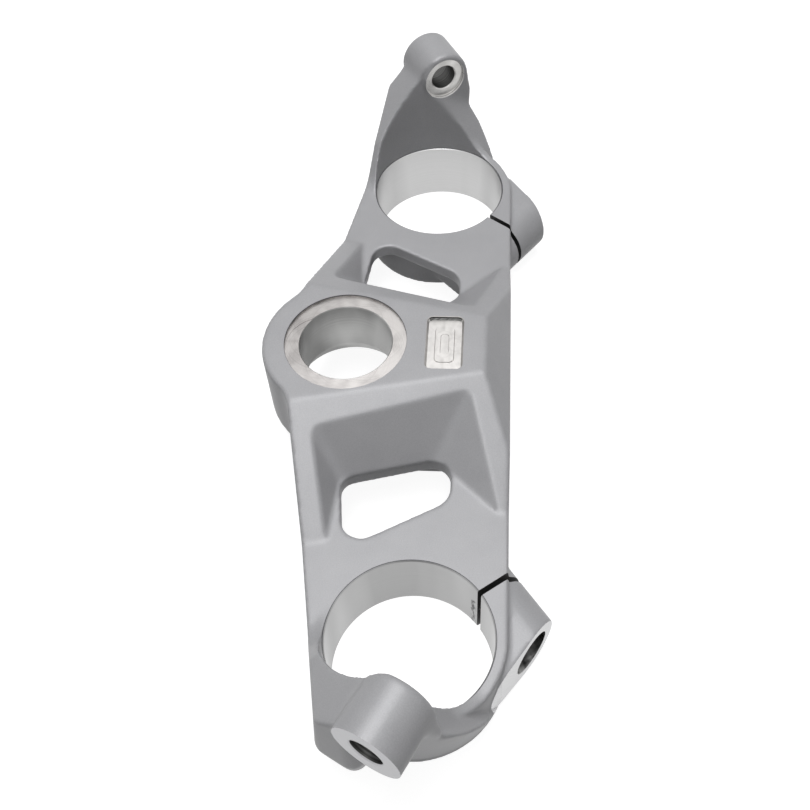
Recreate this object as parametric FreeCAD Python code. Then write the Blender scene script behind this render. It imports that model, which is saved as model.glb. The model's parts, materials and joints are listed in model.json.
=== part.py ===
"""Upper triple clamp of a sports motorcycle: one forged and machined aluminium piece.

Millimetres. The origin is on the steering stem's axis, level with the flat top faces of the
two fork clamps. +X is the rider's right, +Y is forward and +Z is up. The piece is the same
on both sides of the plane X = 0, so the right half is built and mirrored.
"""
import FreeCAD, Part
import math
import os

# Fork clamps
fork_bore_d = 50.0
fork_spacing = 193.2
fork_offset = 26.6
clamp_height = 23.7
clamp_wall = 3.7
rear_wall = 4.5
clamp_foot_wall = 3.0
bore_chamfer = 0.5

# Steering stem hub
stem_bore_d = 31.2
stem_flare_d = 39.3
stem_flare_height = 7.2
stem_seat_d = 41.0
stem_seat_depth = 1.0
hub_d = 56.2
hub_top = 19.2
hub_bottom = -7.7

# Outline of the bridge, seen from above
rear_edge_turn = 10.45
hub_blend_r = 16.0

# Sloped top of the bridge, falling from the hub to the clamps
slope_turn = 12.4
slope_start = 21.85
slope_end = 63.8
bevel_depth = 8.3
bevel_drop = 11.5

# Underside of the bridge
ramp_start = 31.0
ramp_end = 60.0
arch_r = 14.0
web_thickness = 5.0
rail_width = 5.5
under_pocket_start = 33.0
clamp_web_gap = 0.8
hollow_rear = 24.5
hollow_rear_width = 38.0
hollow_front = 22.0
hollow_front_width = 34.0
hollow_roof = 9.0
hollow_corner_r = 5.0

# Dished pocket between the two rails: its walls' angles from level, and their feet on the web
pocket_hub_angle = 52.5
pocket_rear_angle = 58.0
pocket_front_angle = 42.0
pocket_corner_r = 5.0
pocket_hub_foot = 35.5
pocket_hub_lean = -0.273
pocket_rear_foot = -26.0
pocket_rear_foot_at = 42.6
pocket_rear_slope = -0.0855
pocket_front_foot = 5.0
pocket_front_foot_at = 34.1
pocket_front_slope = 1.037
pocket_mouth = 80.0

# Window through the web, its edges measured from the line of the fork clamps
window_front = 9.9
window_rear = -24.9
window_rear_at = 50.0
window_rear_slope = 0.12
window_outer = 55.0
window_outer_lean = -0.57
window_inner_rear_r = 5.0
window_outer_front_r = 8.0
window_other_r = 6.5

# Ear with the cross hole, outboard of each clamp
ear_turn = 28.2
ear_axis_offset = 15.3
ear_axis_height = 30.9
ear_boss_d = 20.2
ear_boss_outer = 42.5
ear_seat_d = 16.3
ear_seat_reach = 26.2
ear_seat_depth = 1.2
ear_boss_edge_r = 1.4
ear_saddle_r = 9.0
ear_hole_d = 9.8
ear_hole_chamfer = 0.6
fork_clearance = 0.3
fork_clearance_lean = 0.06
ear_wall_lean = 0.22
ear_rear_draw = 0.25
ear_end_reach = 41.0
ear_end_width = 9.0
ear_corner_r = 4.5
rear_wall_lean = 0.09
ear_back_reach = 10.0
ear_clear_height = 45.0
ear_side_turn = -34.0
ear_side_reach = 2.8
flank_sink = 1.4
flank_rise = 0.965
flank_fall = 0.118
riser_turn = 52.0
riser_start = -20.8
riser_angle = 55.6
riser_foot_r = 8.0
front_flank_angle = 54.3
front_flank_start = -0.3
front_flank_foot_r = 17.0
ear_skirt_lean = 0.19
ear_skirt_outer = 31.0

# Pinch lug with the slot and the bolt
pinch_turn = 36.7
slot_width = 1.8
pinch_axis_reach = 30.2
pinch_axis_height = -12.3
pinch_lug_d = 21.4
pinch_lug_length = 24.0
pinch_lug_stock = 36.0
pinch_tail_reach = 19.2
pinch_tail_height = -11.0
pinch_tail_d = 18.0
pinch_face_turn = 56.4
pinch_face_reach = 28.75
pinch_head_d = 14.2
pinch_head_floor = 11.8
pinch_bolt_d = 8.4
pinch_thread_d = 6.8
pinch_thread_depth = 15.0
pinch_thread_mouth_d = 9.2

# Badge recess on the hub, left bare
badge_length = 22.4
badge_width = 12.2
badge_front = 33.1
badge_depth = 1.4
badge_corner_r = 2.0

# Worked out from the sizes above
fork_r = fork_bore_d / 2
fork_x = fork_spacing / 2
ring_r = fork_r + clamp_wall
rear_r = fork_r + rear_wall
foot_r = fork_r + clamp_foot_wall
hub_r = hub_d / 2
clamp_bottom = -clamp_height
front_y = fork_offset + ring_r
tall = 60.0
wide = 160.0
drill_reach = 40.0
slope = math.atan(flank_rise)


def vec(x, y, z=0.0):
    return FreeCAD.Vector(x, y, z)


def turned(angle):
    """Unit vector in the level plane at an angle from +X, in degrees."""
    return vec(math.cos(math.radians(angle)), math.sin(math.radians(angle)))


fork = vec(fork_x, fork_offset)
up = vec(0, 0, 1)
rear_out = turned(rear_edge_turn - 90)
rear_along = turned(rear_edge_turn)


def crossing(a, a_way, b, b_way):
    """Point where two level lines meet, each given by a point and a direction."""
    det = a_way.x * b_way.y - a_way.y * b_way.x
    gap = b - a
    return a + a_way * ((gap.x * b_way.y - gap.y * b_way.x) / det)


def rounded_wire(points, radii):
    """Closed wire through corner points, each corner rounded by its own radius."""
    count = len(points)
    starts, mids, ends = [], [], []
    for i, corner in enumerate(points):
        before = (points[i - 1] - corner).normalize()
        after = (points[(i + 1) % count] - corner).normalize()
        half = before.getAngle(after) / 2
        reach = radii[i] / math.tan(half)
        inward = (before + after).normalize()
        starts.append(corner + before * reach)
        ends.append(corner + after * reach)
        mids.append(corner + inward * (radii[i] / math.sin(half) - radii[i]))
    edges = []
    for i in range(count):
        if radii[i] > 0:
            edges.append(Part.Arc(starts[i], mids[i], ends[i]).toShape())
        edges.append(Part.LineSegment(ends[i], starts[(i + 1) % count]).toShape())
    return Part.Wire(edges)


def prism(points, way, radii=None):
    """Solid swept along a vector from a flat corner outline."""
    wire = rounded_wire(points, radii or [0] * len(points))
    return Part.Face(wire).extrude(way)


def level_prism(points, bottom, top, radii=None):
    """Upright solid over a level outline."""
    return prism([vec(p.x, p.y, bottom) for p in points], up * (top - bottom), radii)


def profile_prism(run, across, profile, radii=None, at=vec(0, 0, 0)):
    """Solid under a profile of (distance along run, height), swept both ways along across."""
    start = at - across * wide
    points = [start + run * s + up * z for s, z in profile]
    return prism(points, across * (2 * wide), radii)


def cylinder(r, base, way, length):
    return Part.makeCylinder(r, length, base, way)


def edges_where(shape, test):
    return [edge for edge in shape.Edges if test(edge)]


def bridge_outline():
    """Half outline from above: front face, clamp ring, rear edge, hub blend and hub."""
    ring_rear = fork + rear_out * rear_r
    line_reach = rear_out.dot(ring_rear)
    blend_along = math.sqrt((hub_r + hub_blend_r) ** 2 - (line_reach + hub_blend_r) ** 2)
    blend = rear_out * (line_reach + hub_blend_r) + rear_along * blend_along
    blend_line = blend - rear_out * hub_blend_r
    blend_hub = blend * (hub_r / (hub_r + hub_blend_r))
    blend_mid_way = ((blend_line + blend_hub) * 0.5 - blend).normalize()
    hub_rear = vec(0, -hub_r)
    hub_mid = (blend_hub + hub_rear).normalize() * hub_r
    ring_front = vec(fork_x, front_y)
    edges = [
        Part.LineSegment(vec(0, front_y), ring_front).toShape(),
        Part.Arc(ring_front, fork + turned(rear_edge_turn / 2) * ring_r, ring_rear).toShape(),
        Part.LineSegment(ring_rear, blend_line).toShape(),
        Part.Arc(blend_line, blend + blend_mid_way * hub_blend_r, blend_hub).toShape(),
        Part.Arc(blend_hub, hub_mid, hub_rear).toShape(),
        Part.LineSegment(hub_rear, vec(0, front_y)).toShape(),
    ]
    return Part.Wire(edges)


def half_bridge():
    """Right half of the bridge: hub plateau, falling top, front bevel and arched underside."""
    outline = bridge_outline()
    outline.translate(up * clamp_bottom)
    body = Part.Face(outline).extrude(up * (hub_top - clamp_bottom))
    slope_run = turned(slope_turn)
    slope_across = turned(slope_turn + 90)
    above_slope = [(slope_start, hub_top), (slope_end, 0), (wide, 0), (wide, tall), (slope_start, tall)]
    body = body.cut(profile_prism(slope_run, slope_across, above_slope))
    above_bevel = [
        (front_y - bevel_depth, hub_top),
        (front_y + bevel_depth, hub_top - 2 * bevel_drop),
        (front_y + bevel_depth, tall),
        (front_y - bevel_depth, tall),
    ]
    body = body.cut(profile_prism(vec(0, 1), vec(1, 0), above_bevel))
    arch = [
        (-wide, hub_bottom),
        (ramp_start, hub_bottom),
        (ramp_end, clamp_bottom),
        (ramp_end, -tall),
        (-wide, -tall),
    ]
    body = body.cut(profile_prism(vec(1, 0), vec(0, 1), arch, [0, arch_r, 0, 0, 0]))
    return body


def leaning_pocket(lines, depth_top):
    """Solid between leaning walls: each line is (point, direction, run per unit of height)."""
    def ring_at(height):
        shifted = [(p + turned_left(d) * (-lean * height), d) for p, d, lean in lines]
        corners = []
        for i in range(len(shifted)):
            corner = crossing(*shifted[i - 1], *shifted[i])
            corners.append(vec(corner.x, corner.y, height))
        return Part.makePolygon(corners + corners[:1])
    return Part.makeLoft([ring_at(0), ring_at(depth_top)], True, True)


def turned_left(way):
    return vec(-way.y, way.x)


def pocket_lines():
    """Foot lines of the pocket's walls on the web, counterclockwise, the inside on their left."""
    hub_point = vec(pocket_hub_foot, fork_offset)
    hub_way = vec(pocket_hub_lean, 1).normalize()
    rear_point = vec(pocket_rear_foot_at, fork_offset + pocket_rear_foot)
    rear_way = vec(1, pocket_rear_slope).normalize()
    front_point = vec(pocket_front_foot_at, fork_offset + pocket_front_foot)
    front_way = vec(1, pocket_front_slope).normalize()
    return hub_point, hub_way, rear_point, rear_way, front_point, front_way


def half_pocket():
    """Dished pocket between the rails, open at the outboard end."""
    hub_point, hub_way, rear_point, rear_way, front_point, front_way = pocket_lines()
    angles = (pocket_rear_angle, pocket_front_angle, pocket_hub_angle)
    lean = [1 / math.tan(math.radians(angle)) for angle in angles]
    lines = [
        (rear_point, rear_way, lean[0]),
        (vec(pocket_mouth, 0), vec(0, 1), 0.0),
        (front_point, front_way * -1, lean[1]),
        (hub_point, hub_way * -1, lean[2]),
    ]
    tool = leaning_pocket(lines, tall / 2)

    def is_corner(edge):
        climbs = abs(edge.tangentAt(edge.FirstParameter).z) > 0.1
        return climbs and edge.CenterOfMass.x < fork_x - fork_r
    return tool.makeFillet(pocket_corner_r, edges_where(tool, is_corner))


def half_window():
    """Opening through the web between hub and clamp."""
    hub_point, hub_way, *_ = pocket_lines()
    front = (vec(0, fork_offset + window_front), vec(1, 0))
    outer = (vec(window_outer, fork_offset), vec(window_outer_lean, 1))
    rear = (vec(window_rear_at, fork_offset + window_rear), vec(1, window_rear_slope))
    hub = (hub_point, hub_way)
    points = [
        crossing(*hub, *rear),
        crossing(*rear, *outer),
        crossing(*outer, *front),
        crossing(*front, *hub),
    ]
    radii = [window_inner_rear_r, window_other_r, window_outer_front_r, window_other_r]
    return level_prism(points, -tall, tall / 2, radii)


def ear_frame():
    """Ear directions: outward along the cross hole, and across it towards the front."""
    return turned(-ear_turn), turned(90 - ear_turn)


def ear_point(u, v, z=0.0):
    out, across = ear_frame()
    return fork + out * u + across * v + up * z


def under_front_flank(foot_r):
    """Solid under the ear's front flank, a straight slope that may turn level at its foot."""
    run = tall / math.tan(math.radians(front_flank_angle))
    over = [(front_flank_start + run, tall), (wide, tall), (wide, -tall)]
    if foot_r > 0:
        profile = [(-wide, -tall), (-wide, 0), (front_flank_start, 0)] + over
        radii = [0, 0, foot_r, 0, 0, 0]
    else:
        profile = [(front_flank_start - run, -tall)] + over
        radii = None
    return profile_prism(turned(pinch_turn - 90), turned(pinch_turn), profile, radii, fork)


def under_riser():
    """Solid under the face that climbs from the clamp's rear rim to the ear."""
    run = turned(riser_turn)
    top = riser_start + tall / math.tan(math.radians(riser_angle))
    profile = [(-wide, 0), (riser_start, 0), (top, tall), (wide, tall), (wide, -tall), (-wide, -tall)]
    return profile_prism(run, turned_left(run), profile, [0, riser_foot_r, 0, 0, 0, 0], fork)


def flank_height(u):
    """Height of the rear flank over the line through the clamp's axis, u outboard of it."""
    boss_face = ear_seat_reach - ear_seat_depth
    under_top = (ear_boss_d / 2 - flank_sink) / math.cos(slope)
    return ear_axis_height + under_top - flank_rise * ear_axis_offset - flank_fall * (u - boss_face)


def under_rear_flank():
    """Solid under the ear's rear flank, which falls away from the cross hole's boss."""
    steep = math.hypot(flank_rise, flank_fall)
    out, across = ear_frame()
    run = (across * flank_rise - out * flank_fall) * (1 / steep)
    middle = flank_height(0)
    profile = [(-tall, middle - steep * tall), (tall, middle + steep * tall), (tall, -tall * 2)]
    return profile_prism(run, turned_left(run), profile, None, fork)


def ear_side():
    """Everything on the ear's side of the clamp, clear of the rim next to the bridge."""
    way = turned(ear_side_turn)
    points = [(-ear_side_reach, -tall), (wide, -tall), (wide, tall), (-ear_side_reach, tall)]
    return profile_prism(way, turned_left(way), points, None, fork)


def rear_wall_space():
    """Everything inside the leaning rear wall of the ear."""
    top = rear_r - rear_wall_lean * tall
    wall = [(rear_r, 0), (top, tall), (-wide, tall), (-wide, -tall), (rear_r, -tall)]
    return profile_prism(rear_out, rear_along, wall, None, fork)


def ear_leg():
    """Buttress under the ear, its end square to the cross hole and its foot drawn in."""
    def ring_at(height):
        drawn_in = max(0.0, -height) * ear_wall_lean
        rear_line = (fork + rear_out * (rear_r - drawn_in * ear_rear_draw), rear_along)
        out, across = ear_frame()
        end_line = (ear_point(ear_end_reach - drawn_in, 0), across)
        front_line = (ear_point(0, ear_end_width - drawn_in), out)
        back_line = (ear_point(ear_back_reach, 0), across)
        corners = [crossing(*rear_line, *end_line), crossing(*end_line, *front_line),
                   crossing(*front_line, *back_line), crossing(*back_line, *rear_line)]
        corners = [vec(c.x, c.y, height) for c in corners]
        return Part.makePolygon(corners + corners[:1])
    foot = Part.makeLoft([ring_at(clamp_bottom), ring_at(0)], True, True)
    top = Part.makeLoft([ring_at(0), ring_at(ear_axis_height + ear_boss_d / 2)], True, True)

    def is_outer_corner(edge):
        upright = abs(edge.tangentAt(edge.FirstParameter).z) > 0.5
        return upright and (edge.CenterOfMass - fork).dot(turned(-ear_turn)) > fork_r
    foot = foot.makeFillet(ear_corner_r, edges_where(foot, is_outer_corner))
    top = top.makeFillet(ear_corner_r, edges_where(top, is_outer_corner))
    return foot.fuse(top)


def ear_saddle():
    """Concave blend between the ear's rear flank and the boss of the cross hole."""
    r = ear_boss_d / 2

    def section(u):
        def at(v, z):
            return ear_point(u, v, z)
        drop = (flank_height(u) + flank_rise * ear_axis_offset - ear_axis_height) * math.cos(slope)
        along = math.sqrt((r + ear_saddle_r) ** 2 - (ear_saddle_r + drop) ** 2)
        foot_v = ear_axis_offset - drop * math.sin(slope) - along * math.cos(slope)
        foot_z = ear_axis_height + drop * math.cos(slope) - along * math.sin(slope)
        centre_v = foot_v - ear_saddle_r * math.sin(slope)
        centre_z = foot_z + ear_saddle_r * math.cos(slope)
        share = r / (r + ear_saddle_r)
        touch_v = ear_axis_offset + (centre_v - ear_axis_offset) * share
        touch_z = ear_axis_height + (centre_z - ear_axis_height) * share
        chord_v = (foot_v + touch_v) / 2 - centre_v
        chord_z = (foot_z + touch_z) / 2 - centre_z
        stretch = ear_saddle_r / math.hypot(chord_v, chord_z)
        middle = at(centre_v + chord_v * stretch, centre_z + chord_z * stretch)
        return Part.Wire([
            Part.Arc(at(foot_v, foot_z), middle, at(touch_v, touch_z)).toShape(),
            Part.LineSegment(at(touch_v, touch_z), at(ear_axis_offset, ear_axis_height)).toShape(),
            Part.LineSegment(at(ear_axis_offset, ear_axis_height), at(foot_v, foot_z)).toShape(),
        ])
    return Part.makeLoft([section(ear_seat_reach - ear_seat_depth), section(ear_end_reach)], True, True)


def ear_skirt():
    """Steep face under the front of the boss, from its tangent down to the front flank."""
    out, across = ear_frame()
    run = turned(pinch_turn - 90)
    climb = math.tan(math.radians(front_flank_angle))
    r = ear_boss_d / 2
    touch = vec(r, r * ear_skirt_lean) * (1 / math.hypot(1, ear_skirt_lean))
    touch_v = ear_axis_offset + touch.x
    touch_z = ear_axis_height + touch.y

    def section(u):
        fall = climb * across.dot(run)
        flank_start = climb * (u * out.dot(run) - front_flank_start)
        below = flank_start + fall * ear_axis_offset
        foot_z = flank_start + fall * (touch_v + ear_skirt_lean * touch_z)
        foot_z = foot_z / (1 + fall * ear_skirt_lean)
        foot_v = touch_v + ear_skirt_lean * (touch_z - foot_z)
        corners = [(ear_axis_offset, ear_axis_height), (touch_v, touch_z), (foot_v, foot_z),
                   (ear_axis_offset, below)]
        corners = [ear_point(u, v, z) for v, z in corners]
        return Part.makePolygon(corners + corners[:1])
    return Part.makeLoft([section(ear_seat_reach - ear_seat_depth), section(ear_skirt_outer)], True, True)


def half_ear():
    """Ear outboard of the clamp: leaning wall, buttress and the boss of the cross hole."""
    rise = ear_axis_height + ear_boss_d / 2 - clamp_bottom
    wall = Part.makeCone(foot_r, foot_r + ear_wall_lean * rise, rise, fork + up * clamp_bottom, up)
    outer = wall.fuse(ear_leg()).common(under_front_flank(0))
    core = cylinder(ring_r, fork - up * clamp_height / 2, up, rise)
    ear = outer.fuse(core.common(under_front_flank(front_flank_foot_r))).common(ear_side())
    ear = ear.common(under_riser()).common(under_rear_flank()).common(rear_wall_space())
    out, across = ear_frame()
    inner = ear_seat_reach - ear_seat_depth
    start = ear_point(inner, ear_axis_offset, ear_axis_height)
    boss = cylinder(ear_boss_d / 2, start, out, ear_boss_outer - inner)
    inner_rim = edges_where(boss, lambda e: e.CenterOfMass.isEqual(start, 0.01))
    boss = boss.makeFillet(ear_boss_edge_r, inner_rim)
    return ear.fuse(ear_saddle()).fuse(ear_skirt().common(wall)).fuse(boss)


def pinch_point(t, e, z=0.0):
    return fork + turned(pinch_turn) * t + turned(pinch_turn + 90) * e + up * z


def half_pinch_lug():
    """Lug along the pinch bolt: a round nose and a round tail joined by tangent faces."""
    nose = (pinch_axis_reach, pinch_axis_height)
    tail = (pinch_tail_reach, pinch_tail_height)
    nose_r = pinch_lug_d / 2
    tail_r = pinch_tail_d / 2
    run = nose[0] - tail[0]
    rise = nose[1] - tail[1]
    towards = math.atan2(rise, run)
    spread = math.acos((tail_r - nose_r) / math.hypot(run, rise))

    def at(centre, r, angle):
        e = centre[0] + r * math.cos(angle)
        z = centre[1] + r * math.sin(angle)
        return pinch_point(-pinch_lug_length, e, z)
    nose_low = at(nose, nose_r, towards - spread)
    nose_high = at(nose, nose_r, towards + spread)
    tail_low = at(tail, tail_r, towards - spread)
    tail_high = at(tail, tail_r, towards + spread)
    edges = [
        Part.Arc(nose_low, at(nose, nose_r, towards), nose_high).toShape(),
        Part.LineSegment(nose_high, tail_high).toShape(),
        Part.Arc(tail_high, at(tail, tail_r, towards + math.pi), tail_low).toShape(),
        Part.LineSegment(tail_low, nose_low).toShape(),
    ]
    lug = Part.Face(Part.Wire(edges)).extrude(turned(pinch_turn) * (pinch_lug_length + pinch_lug_stock))
    return lug.cut(pinch_face_cut())


def pinch_face_cut():
    """Space in front of the lug's flat end, which is turned from the bolt towards the front."""
    face_way = turned(pinch_face_turn)
    at = fork + face_way * pinch_face_reach
    end = [(0, -tall), (wide, -tall), (wide, tall), (0, tall)]
    return profile_prism(face_way, turned_left(face_way), end, None, at)


def half_cuts():
    """Everything machined out of the right half."""
    out, across = ear_frame()
    cuts = []
    cuts.append(cylinder(fork_r, fork + up * (clamp_bottom - 1), up, clamp_height + 1))
    clear_r = fork_r + fork_clearance
    clear_top_r = clear_r + fork_clearance_lean * ear_clear_height
    cuts.append(Part.makeCone(clear_r, clear_top_r, ear_clear_height, fork, up))
    cuts.append(Part.makeCone(fork_r, fork_r + bore_chamfer, bore_chamfer, fork - up * bore_chamfer, up))
    cuts.append(Part.makeCone(fork_r + bore_chamfer, fork_r, bore_chamfer, fork + up * clamp_bottom, up))
    seat_axis = ear_point(0, ear_axis_offset, ear_axis_height)
    cuts.append(cylinder(ear_seat_d / 2, seat_axis, out, ear_seat_reach))
    cuts.append(cylinder(ear_hole_d / 2, seat_axis, out, ear_boss_outer + 1))
    mouth_r = ear_hole_d / 2 + ear_hole_chamfer
    mouth = seat_axis + out * (ear_boss_outer - ear_hole_chamfer)
    cuts.append(Part.makeCone(ear_hole_d / 2, mouth_r, ear_hole_chamfer, mouth, out))
    slot_end = pinch_axis_reach + pinch_lug_d
    slot = [pinch_point(t, e, clamp_bottom - 1) for t, e in (
        (-slot_width / 2, fork_r / 2), (slot_width / 2, fork_r / 2),
        (slot_width / 2, slot_end), (-slot_width / 2, slot_end))]
    cuts.append(level_prism(slot, clamp_bottom - 1, hub_top))
    bolt_way = turned(pinch_turn)
    bolt_start = pinch_point(0, pinch_axis_reach, pinch_axis_height)
    cuts.append(cylinder(pinch_bolt_d / 2, bolt_start, bolt_way, drill_reach))
    cuts.append(cylinder(pinch_thread_d / 2, bolt_start, bolt_way * -1, pinch_thread_depth))
    cuts.append(cylinder(pinch_head_d / 2, bolt_start + bolt_way * pinch_head_floor, bolt_way, drill_reach))
    thread_r = pinch_thread_d / 2
    thread_mouth_r = pinch_thread_mouth_d / 2
    thread_face = bolt_start - bolt_way * slot_width / 2
    depth = thread_mouth_r - thread_r
    cuts.append(Part.makeCone(thread_mouth_r, thread_r, depth, thread_face, bolt_way * -1))
    return cuts


def underside_pocket():
    """Recess under the web, between the rails, the hub and the clamp ring."""
    rear = (rear_out * (rear_out.dot(fork) + rear_r - rail_width), rear_along)
    front = (vec(0, front_y - rail_width), vec(1, 0))
    inner = (vec(under_pocket_start, 0), vec(0, 1))
    outer = (vec(fork_x, 0), vec(0, 1))
    points = [
        crossing(*inner, *rear),
        crossing(*rear, *outer),
        crossing(*outer, *front),
        crossing(*front, *inner),
    ]
    tool = level_prism(points, -tall, -web_thickness, [pocket_corner_r, 0, 0, pocket_corner_r])
    keep = cylinder(ring_r + clamp_web_gap, fork - up * (tall + 1), up, tall + 2)
    return tool.cut(keep)


def stem_cuts():
    """Stem bore, its machined seat on top and its flared mouth below."""
    r = stem_bore_d / 2
    return [
        cylinder(r, up * (hub_bottom - 1), up, hub_top - hub_bottom + 2),
        cylinder(stem_seat_d / 2, up * (hub_top - stem_seat_depth), up, stem_seat_depth + 1),
        Part.makeCone(stem_flare_d / 2, r, stem_flare_height, up * hub_bottom, up),
    ]


def badge_cut():
    """Shallow recess in front of the stem, left bare."""
    half = badge_length / 2
    points = [vec(-half, badge_front - badge_width / 2), vec(half, badge_front - badge_width / 2),
              vec(half, badge_front + badge_width / 2), vec(-half, badge_front + badge_width / 2)]
    return level_prism(points, hub_top - badge_depth, hub_top + 1, [badge_corner_r] * 4)


def hub_underside_pocket():
    """Lightening recess under the hub, in front of the stem."""
    rear = hollow_rear_width / 2
    front = hollow_front_width / 2
    front_wall = fork_offset + hollow_front
    points = [
        vec(-rear, hollow_rear),
        vec(rear, hollow_rear),
        vec(front, front_wall),
        vec(-front, front_wall),
    ]
    return level_prism(points, hub_bottom - 1, hollow_roof, [hollow_corner_r] * 4)


def triple_clamp():
    half = half_bridge().cut(half_pocket()).fuse(half_ear())
    half = half.cut(underside_pocket()).fuse(half_pinch_lug()).cut(half_window())
    for tool in half_cuts():
        half = half.cut(tool)
    whole = half.fuse(half.mirror(vec(0, 0, 0), vec(1, 0, 0)))
    for tool in stem_cuts() + [badge_cut(), hub_underside_pocket()]:
        whole = whole.cut(tool)
    return whole.removeSplitter()


def main():
    os.makedirs("parts", exist_ok=True)
    shape = triple_clamp()
    solid = shape.Solids[0]
    print("solids", len(shape.Solids), "valid", solid.isValid(), "volume", round(solid.Volume))
    solid.exportStep("parts/triple_clamp.step")


main()
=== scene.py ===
"""Looks of a motorcycle's upper triple clamp: one silver painted casting with machined bores and seats.

Metres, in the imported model's frame: the origin is on the steering stem's axis, level with the
fork clamps' tops, +X is the rider's right, +Y is forward and +Z is up. Sizes in the classes are
in millimetres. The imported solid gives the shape: its machined features are filled with stock,
the raw casting gets the soft edges that a mould leaves, and the machining is then cut again
with crisp edges and bare metal.
"""
import json
import logging
import math
from abc import ABC, abstractmethod
from dataclasses import dataclass
from enum import Enum
from typing import ClassVar

import bmesh
import bpy
import numpy as np
from bpy.types import ID, Material, Mesh, Node, NodeSocket, NodeTree, Object
from mathutils import Matrix, Quaternion, Vector


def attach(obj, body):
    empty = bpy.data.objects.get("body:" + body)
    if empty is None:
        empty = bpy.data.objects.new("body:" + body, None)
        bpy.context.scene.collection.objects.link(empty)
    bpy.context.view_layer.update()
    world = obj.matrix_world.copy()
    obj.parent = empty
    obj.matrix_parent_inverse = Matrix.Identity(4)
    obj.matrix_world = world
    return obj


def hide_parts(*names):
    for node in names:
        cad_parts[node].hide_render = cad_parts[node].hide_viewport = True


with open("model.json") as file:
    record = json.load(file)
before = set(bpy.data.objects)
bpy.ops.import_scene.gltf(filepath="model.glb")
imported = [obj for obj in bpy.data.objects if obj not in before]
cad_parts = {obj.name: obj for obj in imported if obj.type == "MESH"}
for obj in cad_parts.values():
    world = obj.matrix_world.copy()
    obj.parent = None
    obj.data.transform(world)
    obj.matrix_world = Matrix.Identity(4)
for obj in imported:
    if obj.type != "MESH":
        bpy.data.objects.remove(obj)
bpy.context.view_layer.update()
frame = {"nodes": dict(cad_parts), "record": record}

MM = 0.001
PAST = 1.0  # mm that a cutter reaches past the metal
UP = Vector((0.0, 0.0, 1.0))
log = logging.getLogger("triple_clamp")


# Small tools

def linear(code: str) -> tuple[float, float, float, float]:
    """Turn an sRGB colour into linear light.

    Args:
        code: six hex digits.

    Returns:
        Red, green, blue and an alpha of one.
    """
    parts = [int(code[i:i + 2], 16) / 255 for i in (0, 2, 4)]
    light = [p / 12.92 if p <= 0.04045 else ((p + 0.055) / 1.055) ** 2.4 for p in parts]
    return light[0], light[1], light[2], 1.0


def feed(node: Node, links: dict) -> None:
    """Link or set some of a node's inputs.

    Args:
        node: the node that gets them.
        links: for each input, by name or number, a socket to link or a value to set.
    """
    for key, value in links.items():
        if isinstance(value, NodeSocket):
            node.id_data.links.new(value, node.inputs[key])
        else:
            node.inputs[key].default_value = value


def add(tree: NodeTree, kind: str, links: dict | None = None, **settings) -> Node:
    """Add one node with its settings and links.

    Args:
        tree: the node tree that gets it.
        kind: the node's type name.
        links: for each input, by name or number, a socket to link or a value to set.
        settings: the node's own properties.

    Returns:
        The new node.
    """
    node = tree.nodes.new(kind)
    for key, value in settings.items():
        setattr(node, key, value)
    feed(node, links or {})
    return node


def new_material(name: str) -> tuple[Material, Node]:
    """Make a material.

    Args:
        name: the material's name.

    Returns:
        The material and its shader.
    """
    mat = bpy.data.materials.new(name)
    mat.use_nodes = True
    return mat, mat.node_tree.nodes["Principled BSDF"]


def mount(name: str) -> dict:
    """Look up one of the record's mounts by its name."""
    return next(m for m in frame["record"]["mounts"] if m["name"] == name)


def turn_to(axis: Vector) -> Matrix:
    """Turn that brings Z to an axis; for an upright axis it is no turn at all."""
    way = Vector(axis).normalized()
    return Matrix.Identity(3) if way.z > 0.999 else way.to_track_quat("Z", "Y").to_matrix()


def placed(pos: Vector, axis: Vector = UP) -> Matrix:
    """Place of a part's own millimetres: its origin at pos and its Z along the axis."""
    return Matrix.Translation(pos) @ turn_to(axis).to_4x4() @ Matrix.Scale(MM, 4)


def level(degrees: float) -> Vector:
    """Unit vector in the level plane, at an angle from +X."""
    return Vector((math.cos(math.radians(degrees)), math.sin(math.radians(degrees)), 0.0))


def new_object(name: str, data: ID) -> Object:
    """Link a mesh, lamp or camera into the scene.

    Args:
        name: the object's name.
        data: what it shows.

    Returns:
        The object, at the origin.
    """
    obj = bpy.data.objects.new(name, data)
    bpy.context.scene.collection.objects.link(obj)
    return obj


def applied(obj: Object, name: str) -> Mesh:
    """Evaluate an object's modifiers into a plain mesh and drop the object.

    Args:
        obj: the object with its modifiers.
        name: name of the new mesh.

    Returns:
        The mesh as the modifiers leave it.
    """
    bpy.context.view_layer.update()
    graph = bpy.context.evaluated_depsgraph_get()
    mesh = bpy.data.meshes.new_from_object(obj.evaluated_get(graph), depsgraph=graph)
    mesh.name = name
    old = obj.data
    bpy.data.objects.remove(obj)
    bpy.data.meshes.remove(old)
    return mesh


# Solids of stock and cutters

@dataclass
class Tool:
    """Closed solid that fills or cuts the casting, with a finish for each of its faces."""

    name: str
    mesh: Mesh

    def mirrored(self) -> "Tool":
        """Make the same tool for the clamp's left half.

        Returns:
            The tool on the other side of the middle plane, its faces still outwards.
        """
        mesh = self.mesh.copy()
        mesh.transform(Matrix.Scale(-1.0, 4, Vector((1, 0, 0))))
        mesh.flip_normals()
        return Tool(self.name + "_left", mesh)


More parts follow.
